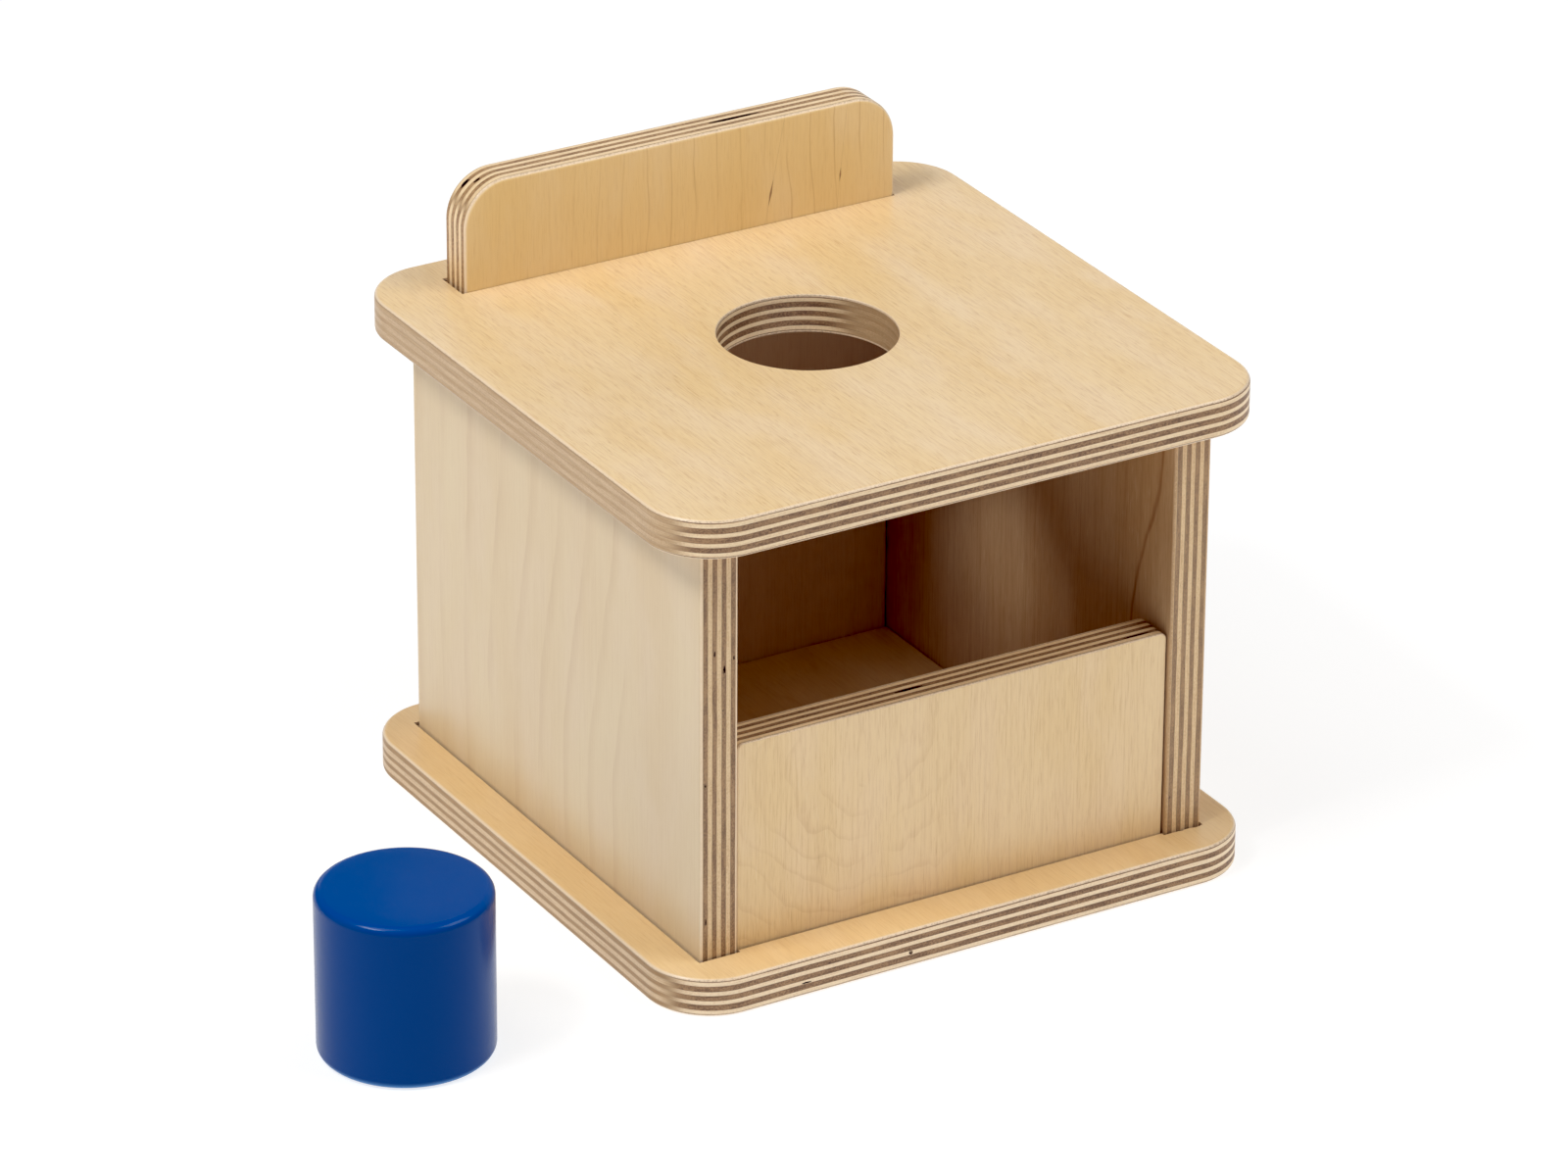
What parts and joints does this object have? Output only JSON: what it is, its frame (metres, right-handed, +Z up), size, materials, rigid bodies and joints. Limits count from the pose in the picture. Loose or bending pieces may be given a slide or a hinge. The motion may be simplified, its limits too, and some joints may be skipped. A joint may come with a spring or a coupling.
{
  "type": "object permanence box",
  "caption": "Plywood toddler toy box with a round drop hole in its top, an open front above a low lip, an upright stop board, and a loose lacquered cylinder that drops through.",
  "frame": {"origin": "centre of the base's underside, on the surface that the box stands on", "axes": "+Z up, +X to the right seen from the open front, +Y from the open front to the back"},
  "size_m": [0.2869, 0.193, 0.186],
  "materials": {
    "birch_plywood": "satin clear lacquer over sanded birch plywood",
    "beech_dowel": "plain beech, glued in, unseen",
    "blue_lacquer": "semi-gloss blue lacquer over turned beech"
  },
  "bodies": {
    "box": {"base_plate": "birch_plywood", "left_side": "birch_plywood", "right_side": "birch_plywood", "back_panel": "birch_plywood", "front_lip": "birch_plywood", "lip_dowels": "beech_dowel", "top_plate": "birch_plywood", "stop_board": "birch_plywood", "stop_dowels": "beech_dowel"},
    "cylinder": {"cylinder": "blue_lacquer"}
  },
  "joints": [
    {"name": "cylinder_lift", "type": "slide", "parent": "box", "child": "cylinder", "axis": [0, 0, 1], "range_m": [0, 0.2]}
  ]
}
